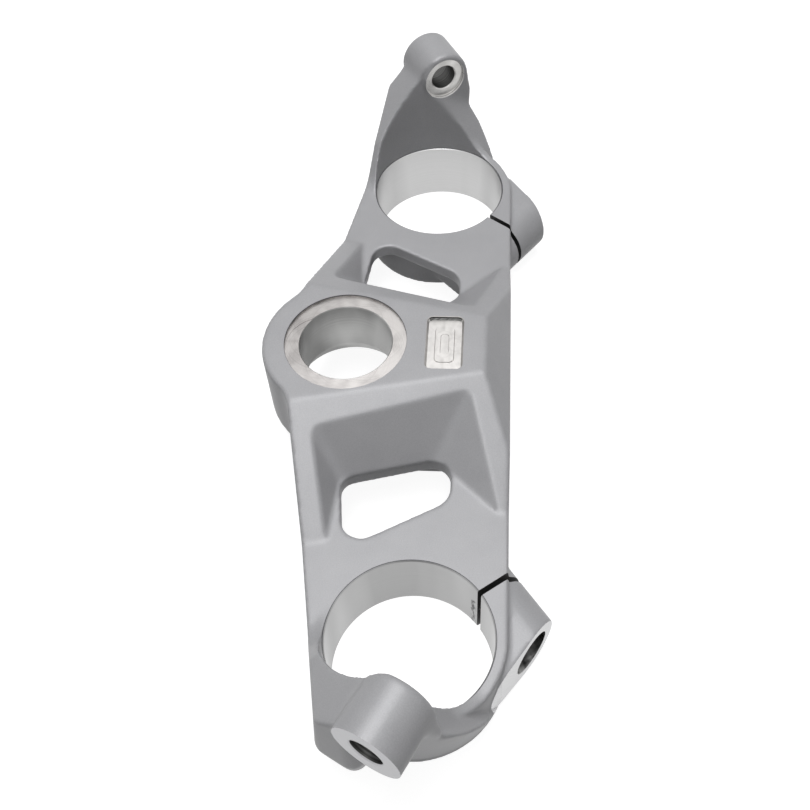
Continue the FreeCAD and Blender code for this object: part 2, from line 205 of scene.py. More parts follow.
def finished_tool(name: str, bm: bmesh.types.BMesh, place: Matrix, finishes: list) -> Tool:
    """Turn a tool's faces outwards, put it in place and give it its finishes.

    Args:
        name: the tool's name.
        bm: its faces in its own millimetres, freed here.
        place: from those millimetres to the frame.
        finishes: the materials that its faces' numbers mean.

    Returns:
        The tool.
    """
    bmesh.ops.recalc_face_normals(bm, faces=bm.faces)
    bm.transform(place)
    mesh = bpy.data.meshes.new(name)
    bm.to_mesh(mesh)
    bm.free()
    for finish in finishes:
        mesh.materials.append(finish)
    return Tool(name, mesh)


def lathe(name: str, profile: list, place: Matrix, finishes: list, steps: int = 160) -> Tool:
    """Solid of revolution about its own Z.

    Args:
        name: the tool's name.
        profile: (radius, height, finish number of the wall that leads here), from axis to axis.
        place: from the tool's millimetres to the frame.
        finishes: the materials that the numbers mean.
        steps: sides round the axis.

    Returns:
        The closed solid.
    """
    bm = bmesh.new()
    rings = []
    for radius, height, _ in profile:
        if radius <= 0:
            rings.append([bm.verts.new((0, 0, height))])
            continue
        turns = [2 * math.pi * i / steps for i in range(steps)]
        rings.append([bm.verts.new((radius * math.cos(a), radius * math.sin(a), height)) for a in turns])
    for number in range(1, len(rings)):
        low, high = rings[number - 1], rings[number]
        for i in range(steps):
            j = (i + 1) % steps
            corners = [low[i % len(low)], low[j % len(low)], high[j % len(high)], high[i % len(high)]]
            face = bm.faces.new(list(dict.fromkeys(corners)))
            face.material_index = profile[number][2]
    return finished_tool(name, bm, place, finishes)


def rod(name: str, radius: float, low: float, high: float, place: Matrix,
        finish: Material, steps: int = 160) -> Tool:
    """Round bar about its own Z.

    Args:
        name: the tool's name.
        radius: its radius.
        low: height of its lower end.
        high: height of its upper end.
        place: from the tool's millimetres to the frame.
        finish: material of all its faces.
        steps: sides round the axis.

    Returns:
        The closed solid.
    """
    profile = [(0, low, 0), (radius, low, 0), (radius, high, 0), (0, high, 0)]
    return lathe(name, profile, place, [finish], steps)


def prism(name: str, outline: list, low: float, high: float, place: Matrix, finishes: list,
          lean: float = 0.0) -> Tool:
    """Solid over a flat outline.

    Args:
        name: the tool's name.
        outline: (x, y) corners, counterclockwise.
        low: height of the lower face, which has the first finish.
        high: height of the upper face.
        place: from the tool's millimetres to the frame.
        finishes: materials of the lower face and of the walls.
        lean: how much both end faces fall for each millimetre of x.

    Returns:
        The closed solid.
    """
    bm = bmesh.new()
    below = [bm.verts.new((x, y, low - lean * x)) for x, y in outline]
    above = [bm.verts.new((x, y, high - lean * x)) for x, y in outline]
    bm.faces.new(below[::-1])
    bm.faces.new(above)
    for i in range(len(outline)):
        j = (i + 1) % len(outline)
        face = bm.faces.new((below[i], below[j], above[j], above[i]))
        face.material_index = len(finishes) - 1
    return finished_tool(name, bm, place, finishes)


def rounded_rectangle(length: float, width: float, radius: float, steps: int = 10) -> list:
    """Outline of a rectangle with rounded corners, centred on zero.

    Args:
        length: size along x.
        width: size along y.
        radius: radius of the corners.
        steps: sides of each corner's arc.

    Returns:
        (x, y) points, counterclockwise.
    """
    points = []
    for x, y, start in ((1, 1, 0), (-1, 1, 90), (-1, -1, 180), (1, -1, 270)):
        for i in range(steps + 1):
            a = math.radians(start + 90 * i / steps)
            points.append((x * (length / 2 - radius) + radius * math.cos(a),
                           y * (width / 2 - radius) + radius * math.sin(a)))
    return points


def stepped(name: str, rings: list, place: Matrix, finishes: list) -> Tool:
    """Solid between rounded rectangles that lie over or inside each other.

    Args:
        name: the tool's name.
        rings: (length, width, corner radius, height, finish numbers of the long sides and of the
            ends of the wall that leads here), from the middle of the lower side to that of the upper.
        place: from the tool's millimetres to the frame.
        finishes: the materials that the numbers mean.

    Returns:
        The closed solid.
    """
    bm = bmesh.new()
    loops = []
    for length, width, radius, height, _, _ in rings:
        loops.append([bm.verts.new((x, y, height)) for x, y in rounded_rectangle(length, width, radius)])
    bm.faces.new(loops[0][::-1])
    bm.faces.new(loops[-1])
    count = len(loops[0])
    for number in range(1, len(loops)):
        low, high = loops[number - 1], loops[number]
        for i in range(count):
            j = (i + 1) % count
            face = bm.faces.new((low[i], low[j], high[j], high[i]))
            run = high[j].co - high[i].co
            face.material_index = rings[number][5 if abs(run.y) > abs(run.x) else 4]
    return finished_tool(name, bm, place, finishes)


# Finishes

@dataclass(frozen=True)
class SilverPaint:
    """Silver stoving enamel over blasted aluminium: a soft sheen with fine flake and slight mottling."""

    name: str = "silver_enamel_over_blasted_aluminium"
    light: str = "B0B0B2"
    dark: str = "9A9A9D"
    metallic: float = 0.12
    specular: float = 0.28
    roughness: float = 0.43
    flake_mm: float = 0.35  # real flakes are far finer, so these are as coarse as they need to show
    mottle_mm: float = 9.0
    mottle: float = 0.35
    spread: float = 0.38
    skin: float = 0.08
    skin_mm: float = 0.05

    def material(self) -> Material:
        """Build the enamel's material.

        Returns:
            Paint whose flake and mottling mix a lighter and a darker silver.
        """
        mat, shader = new_material(self.name)
        tree = mat.node_tree
        coords = add(tree, "ShaderNodeTexCoord").outputs["Object"]
        mottle = add(tree, "ShaderNodeTexNoise",
                     {"Vector": coords, "Scale": 1000 / self.mottle_mm, "Detail": 3.0, "Roughness": 0.6})
        flake = add(tree, "ShaderNodeTexNoise",
                    {"Vector": coords, "Scale": 1000 / self.flake_mm, "Detail": 2.0, "Roughness": 0.7})
        both = add(tree, "ShaderNodeMath",
                   {0: mottle.outputs["Fac"], 1: self.mottle, 2: flake.outputs["Fac"]},
                   operation="MULTIPLY_ADD")
        middle = 0.5 + 0.5 * self.mottle
        share = add(tree, "ShaderNodeMapRange", {
            "Value": both.outputs[0], "From Min": middle - self.spread, "From Max": middle + self.spread})
        colour = add(tree, "ShaderNodeMix", {
            "Factor": share.outputs[0], "A": linear(self.dark), "B": linear(self.light)}, data_type="RGBA")
        skin = add(tree, "ShaderNodeBump", {
            "Height": flake.outputs["Fac"], "Strength": self.skin, "Distance": self.skin_mm * MM})
        feed(shader, {
            "Base Color": colour.outputs["Result"], "Normal": skin.outputs["Normal"],
            "Metallic": self.metallic, "Roughness": self.roughness, "Specular IOR Level": self.specular})
        return mat


@dataclass(frozen=True)
class PaintedShadeEdge:
    """Edge of the enamel where a cutter broke through it: a thin dark line of painted shade, made uneven by
    a fine grain.
    """

    name: str = "enamel_edge_painted_shade_line"
    dark: str = "48484B"
    light: str = "6C6C70"
    roughness: float = 0.6
    grain_mm: float = 1.2

    def material(self) -> Material:
        """Build the edge's material.

        Returns:
            Dull dark grey of painted shade that a fine grain makes uneven.
        """
        mat, shader = new_material(self.name)
        tree = mat.node_tree
        coords = add(tree, "ShaderNodeTexCoord").outputs["Object"]
        edge_grain = add(tree, "ShaderNodeTexNoise",
                   {"Vector": coords, "Scale": 1000 / self.grain_mm, "Detail": 3.0})
        colour = add(tree, "ShaderNodeMix", {
            "Factor": edge_grain.outputs["Fac"], "A": linear(self.dark), "B": linear(self.light)},
            data_type="RGBA")
        feed(shader, {"Base Color": colour.outputs["Result"], "Roughness": self.roughness})
        return mat


class Marks(Enum):
    """Marks that a cutting tool leaves."""

    RINGS = "rings round the axis, from a boring bar, a drill or a saw"
    SWIRL = "crossing arcs, from an end mill led round a circle"
    SWEEP = "wide parallel arcs, from a face mill that passes once"


@dataclass(frozen=True)
class BareAluminium:
    """Machined aluminium left bare: bright metal with the marks of its own cutter.

    The marks run about the feature's own axis. Both sides of the clamp share one finish, because
    the pattern's X is folded at the middle plane. Some finishes also carry painted light and shade:
    a side made lighter along painted_light_way, and darker colours for the shade in holes and slots.
    """

    name: str
    marks: Marks
    pos: Vector
    axis: Vector = UP
    colour: str = "DAD9D7"
    shade: str = "C4C3C1"
    roughness: float = 0.30
    pitch_mm: float = 0.5  # real feed marks are finer, so these are as coarse as they need to show
    depth_mm: float = 0.02
    worn_mm: float = 6.25
    path_mm: float = 7.9
    mill_mm: float = 12.3
    sweep_from: tuple[float, float, float] = (60.0, 25.0, 0.0)
    bands: float = 0.0
    band_mm: float = 18.0
    band_stretch: float = 8.0
    painted_light_way: tuple[float, float, float] = (0.0, 0.0, 0.0)
    scuff_at: float | None = None
    scuff_width: float = 10.0
    scuff_top: float = -4.0
    scuff_full: float = -10.0
    scuff_mm: float = 1.25
    scuff: str = "302F30"

    def local(self, tree: NodeTree) -> NodeSocket:
        """Measure places from the feature itself.

        Args:
            tree: the material's nodes.

        Returns:
            Object coordinates folded at the middle plane, in the feature's own millimetres.
        """
        coords = add(tree, "ShaderNodeTexCoord").outputs["Object"]
        parts = add(tree, "ShaderNodeSeparateXYZ", {0: coords})
        folded = add(tree, "ShaderNodeMath", {0: parts.outputs["X"]}, operation="ABSOLUTE")
        whole = add(tree, "ShaderNodeCombineXYZ",
                    {"X": folded.outputs[0], "Y": parts.outputs["Y"], "Z": parts.outputs["Z"]})
        mapping = add(tree, "ShaderNodeMapping", {
            "Vector": whole.outputs[0], "Location": Vector(self.pos),
            "Rotation": turn_to(self.axis).to_euler(), "Scale": (MM, MM, MM)}, vector_type="TEXTURE")
        return mapping.outputs["Vector"]

    def turning(self, tree: NodeTree, local: NodeSocket) -> NodeSocket:
        """Measure the angle round the axis.

        Args:
            tree: the material's nodes.
            local: the feature's own millimetres.

        Returns:
            The angle, from minus pi to pi.
        """
        parts = add(tree, "ShaderNodeSeparateXYZ", {0: local})
        return add(tree, "ShaderNodeMath", {0: parts.outputs["Y"], 1: parts.outputs["X"]},
                   operation="ARCTAN2").outputs[0]

    def streaks(self, tree: NodeTree, travel: NodeSocket,
                local: NodeSocket) -> NodeSocket:
        """Lay uneven fine lines across a length, fainter where the surface is worn.

        Args:
            tree: the material's nodes.
            travel: the length, in millimetres.
            local: the feature's own millimetres.

        Returns:
            Height of the lines, about one half.
        """
        lines = add(tree, "ShaderNodeTexNoise",
                    {"W": travel, "Scale": 1 / self.pitch_mm, "Detail": 2.0, "Roughness": 0.65},
                    noise_dimensions="1D")
        worn = add(tree, "ShaderNodeTexNoise", {"Vector": local, "Scale": 1 / self.worn_mm, "Detail": 2.0})
        return add(tree, "ShaderNodeMix", {0: worn.outputs["Fac"], 2: lines.outputs["Fac"], 3: 0.5},
                   data_type="FLOAT").outputs[0]

    def swirl(self, tree: NodeTree, local: NodeSocket) -> NodeSocket:
        """Cross the arcs that an end mill leaves as its middle runs round a circle.

        Args:
            tree: the material's nodes.
            local: the feature's own millimetres.

        Returns:
            Height of the marks, from nought to one.
        """
        turn = self.turning(tree, local)
        parts = add(tree, "ShaderNodeSeparateXYZ", {0: local}).outputs
        flat = add(tree, "ShaderNodeCombineXYZ", {"X": parts["X"], "Y": parts["Y"]})
        reach = add(tree, "ShaderNodeVectorMath", {0: flat.outputs[0]}, operation="LENGTH").outputs["Value"]
        square = add(tree, "ShaderNodeMath", {0: reach, 1: reach}, operation="MULTIPLY")
        top = add(tree, "ShaderNodeMath",
                  {0: square.outputs[0], 1: self.path_mm ** 2 - self.mill_mm ** 2}, operation="ADD")
        below = add(tree, "ShaderNodeMath", {0: reach, 1: 2 * self.path_mm}, operation="MULTIPLY")
        ratio = add(tree, "ShaderNodeMath", {0: top.outputs[0], 1: below.outputs[0]},
                    operation="DIVIDE", use_clamp=True)
        lead = add(tree, "ShaderNodeMath", {0: ratio.outputs[0]}, operation="ARCCOSINE").outputs[0]
        heights = []
        for way in ("ADD", "SUBTRACT"):
            angle = add(tree, "ShaderNodeMath", {0: turn, 1: lead}, operation=way).outputs[0]
            travel = add(tree, "ShaderNodeMath", {0: angle, 1: self.mill_mm}, operation="MULTIPLY")
            heights.append(self.streaks(tree, travel.outputs[0], local))
        return add(tree, "ShaderNodeMath", {0: heights[0], 1: heights[1]}, operation="MINIMUM").outputs[0]

    def pattern(self, tree: NodeTree, local: NodeSocket) -> NodeSocket:
        """Draw the marks of the feature's cutter.

        Args:
            tree: the material's nodes.
            local: the feature's own millimetres.

        Returns:
            Height of the marks, from nought to one.
        """
        if self.marks is Marks.SWIRL:
            return self.swirl(tree, local)
        if self.marks is Marks.RINGS:
            parts = add(tree, "ShaderNodeSeparateXYZ", {0: local})
            return self.streaks(tree, parts.outputs["Z"], local)
        far = add(tree, "ShaderNodeVectorMath", {0: local, 1: self.sweep_from}, operation="SUBTRACT")
        reach = add(tree, "ShaderNodeVectorMath", {0: far.outputs[0]}, operation="LENGTH")
        return self.streaks(tree, reach.outputs["Value"], local)

    def banded(self, tree: NodeTree, local: NodeSocket,
               share: NodeSocket) -> NodeSocket:
        """Lay soft bands that run along the axis over a share of the lighter colour, and painted light
        that makes the side along painted_light_way lighter.

        Args:
            tree: the material's nodes.
            local: the feature's own millimetres.
            share: share of the lighter colour so far.

        Returns:
            The new share.
        """
        flat = add(tree, "ShaderNodeVectorMath", {0: local, 1: (1.0, 1.0, 1 / self.band_stretch)},
                   operation="MULTIPLY")
        cloud = add(tree, "ShaderNodeTexNoise",
                    {"Vector": flat.outputs[0], "Scale": 1 / self.band_mm, "Detail": 1.5})
        # Painted light: lighter towards painted_light_way
        side = add(tree, "ShaderNodeVectorMath", {0: local, 1: self.painted_light_way}, operation="DOT_PRODUCT")
        both = add(tree, "ShaderNodeMath", {0: cloud.outputs["Fac"], 1: side.outputs["Value"]},
                   operation="ADD")
        band = add(tree, "ShaderNodeMapRange",
                   {"Value": both.outputs[0], "From Min": 0.28, "From Max": 0.72})
        return add(tree, "ShaderNodeMix", {0: self.bands, 2: share, 3: band.outputs[0]},
                   data_type="FLOAT").outputs[0]

    def scuffs(self, tree: NodeTree, local: NodeSocket) -> NodeSocket:
        """Rub the lower part of the bore beside the slot, where the saw came out.

        Args:
            tree: the material's nodes.
            local: the feature's own millimetres.

        Returns:
            Share of the dark ragged rubs.
        """
        angle = self.turning(tree, local)
        away = add(tree, "ShaderNodeMath", {0: angle, 1: math.radians(self.scuff_at)},
                   operation="SUBTRACT")
        away = add(tree, "ShaderNodeMath", {0: away.outputs[0]}, operation="ABSOLUTE")
        beside = add(tree, "ShaderNodeMapRange", {
            "Value": away.outputs[0], "From Min": 0.0, "From Max": math.radians(self.scuff_width / 2),
            "To Min": 0.14, "To Max": -0.26})
        parts = add(tree, "ShaderNodeSeparateXYZ", {0: local})
        low = add(tree, "ShaderNodeMapRange", {
            "Value": parts.outputs["Z"], "From Min": self.scuff_full, "From Max": self.scuff_top,
            "To Min": 0.0, "To Max": -0.25})
        tall = add(tree, "ShaderNodeVectorMath", {0: local, 1: (1.0, 1.0, 0.5)}, operation="MULTIPLY")
        rub = add(tree, "ShaderNodeTexNoise",
                  {"Vector": tall.outputs[0], "Scale": 1 / self.scuff_mm, "Detail": 3.0})
        both = add(tree, "ShaderNodeMath", {0: rub.outputs["Fac"], 1: beside.outputs[0]}, operation="ADD")
        both = add(tree, "ShaderNodeMath", {0: both.outputs[0], 1: low.outputs[0]}, operation="ADD")
        return add(tree, "ShaderNodeMapRange",
                   {"Value": both.outputs[0], "From Min": 0.50, "From Max": 0.64}).outputs[0]

    def material(self) -> Material:
        """Build the metal's material.

        Returns:
            Metal whose marks show in its colour, its roughness and its relief.
        """
        mat, shader = new_material(self.name)
        tree = mat.node_tree
        local = self.local(tree)
        height = self.pattern(tree, local)
        rough = add(tree, "ShaderNodeMapRange",
                    {"Value": height, "From Min": 0.3, "From Max": 0.7,
                     "To Min": self.roughness * 0.8, "To Max": self.roughness * 1.25})
        share = add(tree, "ShaderNodeMapRange",
                    {"Value": height, "From Min": 0.35, "From Max": 0.65}).outputs[0]
        if self.bands > 0:
            share = self.banded(tree, local, share)
        colour = add(tree, "ShaderNodeMix", {
            "Factor": share, "A": linear(self.shade), "B": linear(self.colour)}, data_type="RGBA")
        if self.scuff_at is not None:
            colour = add(tree, "ShaderNodeMix", {
                "Factor": self.scuffs(tree, local), "A": colour.outputs["Result"],
                "B": linear(self.scuff)}, data_type="RGBA")
        bump = add(tree, "ShaderNodeBump",
                   {"Height": height, "Strength": 0.5, "Distance": self.depth_mm * MM})
        feed(shader, {"Base Color": colour.outputs["Result"], "Roughness": rough.outputs[0],
                      "Metallic": 1.0, "Normal": bump.outputs["Normal"]})
        return mat


@dataclass(frozen=True)
class Finishes:
    """Every finish on the clamp."""

    enamel: Material
    painted_shade_edge: Material
    bored: Material
    shaded_stem_bore: Material
    sawn_painted_shade: Material
    faced: Material
    stem_seat: Material
    ear_seat: Material
    pinch_face: Material
    pocket_floor: Material
    drilled_painted_shade: Material
    shaded_head_bore: Material


# Machined features

class Feature(ABC):
    """Machined feature of the right half, or of the middle where it isn't on both sides."""

    both_sides: ClassVar[bool] = True

    @abstractmethod
    def stock(self, f: Finishes) -> list[Tool]:
        """Metal that fills the feature in the raw casting."""

    @abstractmethod
    def cuts(self, f: Finishes) -> list[Tool]:
        """Cutters that make the feature, in order."""


@dataclass
class ForkClamp(Feature):
    """Bore of one fork clamp, with its small chamfers and the slot that lets it close."""

    radius: float = 25.0
    chamfer: float = 0.42
    height: float = 23.7
    fill: float = 26.2
    clearing: float = 25.52
    clearing_height: float = 2.5
    paint: float = 0.1
    paint_top: float = 0.02
    slot: float = 1.8
    turn: float = 36.7
    slot_from: float = 22.0
    slot_to: float = 52.0
    slot_fill: float = 1.3
    front_edge: float = 28.7

    def centre(self) -> Vector:
        """Centre of the right clamp's top."""
        pos = mount("fork_clamp_right")["pos_m"]
        return Vector((pos[0], pos[1], 0.0))

    def stock(self, f: Finishes) -> list[Tool]:
        """Fill the bore and the slot.

        Args:
            f: every finish.

        Returns:
            A round core and a strip along the slot.
        """
        place = placed(self.centre())
        core = rod("bore_stock", self.fill, -self.height, 0, place, f.enamel)
        way, across = level(self.turn + 90), level(self.turn)
        points = []
        for side in (-1, 1):
            shift = across * (side * self.slot_fill)
            front = (self.front_edge - shift.y) / way.y
            points += [way * self.slot_from + shift, way * front + shift][::side]
        slot = prism("slot_stock", [(p.x, p.y) for p in points], -self.height, 0, place, [f.enamel])
        return [core, slot]

    def cuts(self, f: Finishes) -> list[Tool]:
        """Cut the bore, with a thin broken edge in the enamel drawn as a dark line of painted shade, and
        the slot.

        Args:
            f: every finish.

        Returns:
            The bore and the slot.
        """
        place = placed(self.centre())
        c, r, bottom, under = self.chamfer, self.radius, -self.height, -self.height - PAST
        bore = lathe("fork_bore", [
            (0, under, 0), (r + c + PAST, under, 0), (r, bottom + c, 0), (r, -c, 0),
            (r + c - self.paint, -self.paint, 0), (self.clearing, -self.paint, 2),
            (self.clearing, self.paint_top, 2), (self.clearing, self.clearing_height, 1),
            (0, self.clearing_height, 1)], place, [f.bored, f.enamel, f.painted_shade_edge], 256)
        way, across = level(self.turn + 90), level(self.turn)
        points = [way * reach + across * (side * self.slot / 2) for reach, side in (
            (self.slot_from, 1), (self.slot_to, 1), (self.slot_to, -1), (self.slot_from, -1))]
        # The slot's nearly black walls are painted shade.
        slot = prism("clamp_slot", [(p.x, p.y) for p in points], under, 2 * PAST, place, [f.sawn_painted_shade])
        return [bore, slot]


@dataclass
class PinchLug(Feature):
    """Lug along the pinch bolt: counterbore, bolt hole, blind tapped hole and the milled end face."""

    turn: float = 36.7
    radius: float = 10.7
    head: float = 7.1
    head_floor: float = 11.8
    head_to: float = 40.0
    bolt: float = 4.2
    bevel: float = 0.4
    thread_root: float = 4.0
    thread_mouth: float = 4.6
    mouth_from: float = -1.5
    mouth_to: float = -0.8
    core_depth: float = 15.0
    drill_point: float = 1.8
    tail_at: tuple[float, float] = (19.2, -11.0)
    tail_radius: float = 9.0
    arc_steps: int = 32
    face_turn: float = 56.4
    face_reach: float = 28.75
    face_stock: float = 0.5
    face_cut: float = 30.0
    face_margin: float = 0.25
    fill: float = 9.5
    fill_from: float = -17.0
    fill_to: float = 5.0
    nose_from: float = -3.0

    def axis_start(self) -> Vector:
        """Find the bolt's axis.

        Returns:
            Its point in the middle of the slot.
        """
        m = mount("pinch_hole_right")
        clamp = Vector(mount("fork_clamp_right")["pos_m"])
        pos, axis = Vector(m["pos_m"]), Vector(m["axis"])
        return pos - axis * (pos - clamp).dot(axis)

    def section(self, grow: float = 0.0) -> list:
        """Draw the lug's section across the bolt: a round nose and tail joined by tangents.

        Args:
            grow: how far the outline stands outside the lug.

        Returns:
            (x, y) points, counterclockwise.
        """
        nose = self.axis_start() - ForkClamp().centre()
        e, z = nose.dot(level(self.turn + 90)) / MM, nose.z / MM
        run, rise = e - self.tail_at[0], z - self.tail_at[1]
        towards = math.atan2(rise, run)
        spread = math.acos((self.tail_radius - self.radius) / math.hypot(run, rise))
        arcs = (((e, z), self.radius, towards - spread, 2 * spread),
                (self.tail_at, self.tail_radius, towards + spread, 2 * (math.pi - spread)))
        corners = []
        for centre, radius, start, turn in arcs:
            reach = radius + grow
            for i in range(self.arc_steps + 1):
                a = start + turn * i / self.arc_steps
                corners.append((centre[0] + reach * math.cos(a), centre[1] + reach * math.sin(a)))
        return corners

    def across_bolt(self) -> tuple[Matrix, float, float]:
        """Set up the slanting end face.

        Returns:
            Place whose Z is the bolt's way, with the face's lean and its distance along the bolt.
        """
        bolt, side, way = level(self.turn), level(self.turn + 90), level(self.face_turn)
        turn = Matrix((side, UP, bolt)).transposed().to_4x4()
        place = Matrix.Translation(ForkClamp().centre()) @ turn @ Matrix.Scale(MM, 4)
        return place, way.dot(side) / way.dot(bolt), self.face_reach / way.dot(bolt)

    def stock(self, f: Finishes) -> list[Tool]:
        """Fill the holes and let the lug stand a little past its end face.

        Args:
            f: every finish.

        Returns:
            A bar in the holes and the longer nose.
        """
        bar = placed(self.axis_start(), level(self.turn))
        hole = rod("pinch_stock", self.fill, self.fill_from, self.fill_to, bar, f.enamel)
        place, lean, end = self.across_bolt()
        nose = prism("pinch_nose", self.section(), self.nose_from, end + self.face_stock, place,
                     [f.enamel], lean)
        return [hole, nose]

    def cuts(self, f: Finishes) -> list[Tool]:
        """Mill the end face first, then drill the holes.

        Args:
            f: every finish.

        Returns:
            The face and one cutter for all the holes.
        """
        place, lean, end = self.across_bolt()
        face = prism("pinch_face", self.section(self.face_margin), end, end + self.face_cut, place,
                     [f.pinch_face], lean)
        root, bolt, floor, bevel = self.thread_root, self.bolt, self.head_floor, self.bevel
        # The holes' dark grey and the counterbore's dark patches are painted shade.
        holes = lathe("pinch_holes", [
            (0, -self.core_depth - self.drill_point, 0), (root, -self.core_depth, 0),
            (root, self.mouth_from, 0), (self.thread_mouth, self.mouth_to, 0), (bolt, 0, 0),
            (bolt, floor - bevel, 0), (bolt + bevel, floor, 0), (self.head, floor, 1),
            (self.head, self.head_to, 1), (0, self.head_to, 0)],
            placed(self.axis_start(), level(self.turn)), [f.drilled_painted_shade, f.shaded_head_bore], 96)
        return [face, holes]


@dataclass
class Ear(Feature):
    """Cross hole of one ear, with its sunk seat inboard and its flat end outboard."""

    boss: float = 10.1
    boss_inner: float = 25.0
    boss_outer: float = 42.5
    boss_fill: float = 8.7
    fill_to: float = 35.0
    end_from: float = 34.0
    end_to: float = 46.0
    end_cut: float = 14.0
    end_cut_to: float = 50.0
    seat: float = 8.15
    seat_from: float = 15.0
    seat_reach: float = 26.2
    seat_lip: float = 0.3
    seat_corner: float = 0.2
    hole: float = 4.9
    hole_bevel: float = 0.4
    mouth: float = 0.35

    def place(self) -> Matrix:
        """Find the cross hole.

        Returns:
            From distances along it, measured from the fork's axis, to the frame.
        """
        m = mount("ear_hole_right")
        pos, axis = Vector(m["pos_m"]), Vector(m["axis"])
        return placed(pos - axis * (pos - ForkClamp().centre()).dot(axis), axis)

    def stock(self, f: Finishes) -> list[Tool]:
        """Fill the hole and its seat and let the boss stand past its end.

        Args:
            f: every finish.

        Returns:
            A bar in the hole and the longer end.
        """
        fill = rod("ear_stock", self.boss_fill, self.boss_inner, self.fill_to, self.place(), f.enamel)
        end = rod("ear_end", self.boss, self.end_from, self.end_to, self.place(), f.enamel)
        return [fill, end]

    def cuts(self, f: Finishes) -> list[Tool]:
        """Face the end, then sink the seat and drill the hole.

        Args:
            f: every finish.

        Returns:
            The end's cutter and one cutter for the seat and the hole.
        """
        end = rod("ear_end_cut", self.end_cut, self.boss_outer, self.end_cut_to, self.place(), f.faced, 96)
        s, lip, corner, floor = self.seat, self.seat_lip, self.seat_corner, self.seat_reach
        inner, outer, hole, mouth = self.boss_inner, self.boss_outer, self.hole, self.mouth
        # The hole's dark grey is painted shade.
        seat = lathe("ear_seat_cut", [
            (0, self.seat_from, 0), (s, self.seat_from, 1), (s, inner - lip, 1), (s + lip, inner, 1),
            (s, inner + lip, 0), (s, floor - corner, 0), (s - corner, floor, 0),
            (hole + self.hole_bevel, floor, 0), (hole, floor + self.hole_bevel, 0),
            (hole, outer - mouth, 2), (hole + mouth, outer, 3), (hole + mouth + PAST, outer + PAST, 3),
            (0, outer + PAST, 3)], self.place(), [f.ear_seat, f.enamel, f.drilled_painted_shade, f.faced], 96)
        return [end, seat]


@dataclass
class StemHub(Feature):
    """Stem bore with its milled seat, its flared mouth and the empty badge recess in front."""

    both_sides: ClassVar[bool] = False
    bore: float = 15.6
    bore_fill: float = 22.0
    flare: float = 19.65
    flare_height: float = 7.2
    bottom: float = -7.7
    top: float = 19.2
    seat: float = 20.5
    seat_depth: float = 1.0
    seat_bevel: float = 0.3
    paint_from: float = 0.45
    paint_to: float = 0.1
    paint_out: float = 0.3
    paint_up: float = 0.2
    mill: float = 12.3
    mill_at: tuple[float, float] = (1.5, -7.8)
    mill_sink: float = 0.12
    mill_short: float = 0.3
    badge: tuple[float, float, float] = (22.4, 12.2, 2.0)
    badge_y: float = 33.1
    badge_depth: float = 1.4
    badge_fill: float = 3.0
    badge_corner: float = 0.6
    badge_lip: float = 0.2
    pad: tuple[float, float, float] = (15.2, 6.2, 1.6)
    pad_height: float = 0.3
    pad_dish: tuple[float, float, float] = (8.6, 2.6, 1.1)
    pad_dish_height: float = 0.1

    def stock(self, f: Finishes) -> list[Tool]:
        """Fill the bore, the seat and the badge recess.

        Args:
            f: every finish.

        Returns:
            A round core and a block.
        """
        place = placed(Vector())
        core = rod("stem_stock", self.bore_fill, self.bottom, self.top, place, f.enamel)
        outline = rounded_rectangle(self.badge[0] + 1, self.badge[1] + 1, self.badge[2])
        block = prism("badge_stock", [(x, y + self.badge_y) for x, y in outline],
                      self.top - self.badge_fill, self.top, place, [f.enamel])
        return [core, block]

    def cuts(self, f: Finishes) -> list[Tool]:
        """Cut the bore with flare and seat, the mill's last circle, and the badge recess.

        Args:
            f: every finish.

        Returns:
            The three cutters.
        """
        seat_z, out = self.top - self.seat_depth, self.seat + self.paint_out
        lean = (self.flare - self.bore) / self.flare_height
        # The bore's darker metal is painted shade, lighter towards the front as painted light.
        bore = lathe("stem_bore", [
            (0, self.bottom - PAST, 0), (self.flare + lean * PAST, self.bottom - PAST, 0),
            (self.bore, self.bottom + self.flare_height, 0), (self.bore, seat_z - self.seat_bevel, 0),
            (self.bore + self.seat_bevel, seat_z, 0), (self.seat, seat_z, 1),
            # The top of the seat's wall and its chamfer are a thin dark line of painted shade.
            (self.seat, self.top - self.paint_from, 1), (self.seat, self.top - self.paint_to, 2),
            (out, self.top + self.paint_up, 2), (out, self.top + PAST, 1), (0, self.top + PAST, 1)],
            placed(Vector()), [f.shaded_stem_bore, f.stem_seat, f.painted_shade_edge], 256)
        last = rod("mill_mark", self.mill, seat_z - self.mill_sink, self.top - self.mill_short,
                   placed(Vector()) @ Matrix.Translation((*self.mill_at, 0)), f.stem_seat)
        return [bore, last, self.recess(f)]

    def recess(self, f: Finishes) -> Tool:
        """Shape the recess: walls with a chamfer and a floor with a low plain pad, dished in its middle.

        Args:
            f: every finish.

        Returns:
            The cutter.
        """
        floor, rim = self.top - self.badge_depth, self.top + 2 * PAST
        rings = []
        for (length, width, corner), grow, height, sides, ends in (
                (self.pad_dish, 0.0, floor + self.pad_dish_height, 0, 0),
                (self.pad_dish, 0.3, floor + self.pad_height, 0, 0),
                (self.pad, 0.0, floor + self.pad_height, 0, 0),
                (self.pad, 0.4, floor, 0, 0),
                (self.badge, -1.0, floor, 0, 0),
                (self.badge, 0.0, floor + self.badge_corner, 0, 2),
                (self.badge, 0.0, self.top - self.badge_lip, 0, 1),
                (self.badge, 0.4, self.top, 0, 0),
                (self.badge, 0.4, rim, 0, 0)):
            rings.append((length + grow, width + grow, corner + grow / 2, height, sides, ends))
        # The recess's end walls are dark metal as painted shade: dark grey at the foot, nearly black above.
        return stepped("badge_recess", rings, placed(Vector()) @ Matrix.Translation((0, self.badge_y, 0)),
                       [f.pocket_floor, f.sawn_painted_shade, f.drilled_painted_shade])


